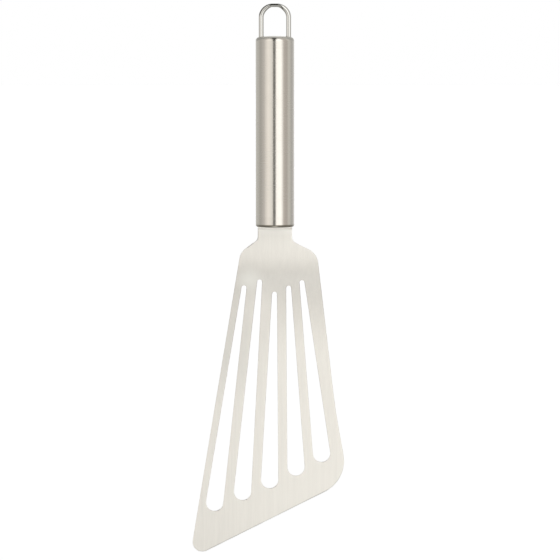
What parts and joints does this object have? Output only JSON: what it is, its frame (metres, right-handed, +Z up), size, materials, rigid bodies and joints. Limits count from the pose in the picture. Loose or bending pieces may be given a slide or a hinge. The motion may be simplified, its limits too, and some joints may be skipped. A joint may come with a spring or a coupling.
{
  "type": "fish spatula",
  "caption": "Slotted fish spatula with a slanted flexible steel blade, a hollow round steel handle and a wire hanging loop.",
  "frame": {"origin": "the hang point, inside the top of the wire loop, on the axis of the handle", "axes": "+Z up the handle as the spatula hangs, -Y the food side of the blade, +X towards the heel side of the slanted blade"},
  "size_m": [0.0789, 0.026, 0.2856],
  "materials": {
    "satin_sheet": "satin, with a fine grain along the blade",
    "brushed_tube": "brushed round the tube",
    "brushed_cap": "brushed round the cap",
    "polished_wire": "polished",
    "weld_metal": "as welded",
    "ground_seam": "ground flush and brushed over"
  },
  "bodies": {
    "root": {"blade": "satin_sheet", "handle_tube": "brushed_tube", "front_cap": "brushed_cap", "rear_cap": "brushed_cap", "hanging_loop": "polished_wire", "tang_weld": "weld_metal", "loop_welds": "weld_metal", "front_seam_weld": "ground_seam", "rear_seam_weld": "ground_seam"}
  },
  "joints": []
}
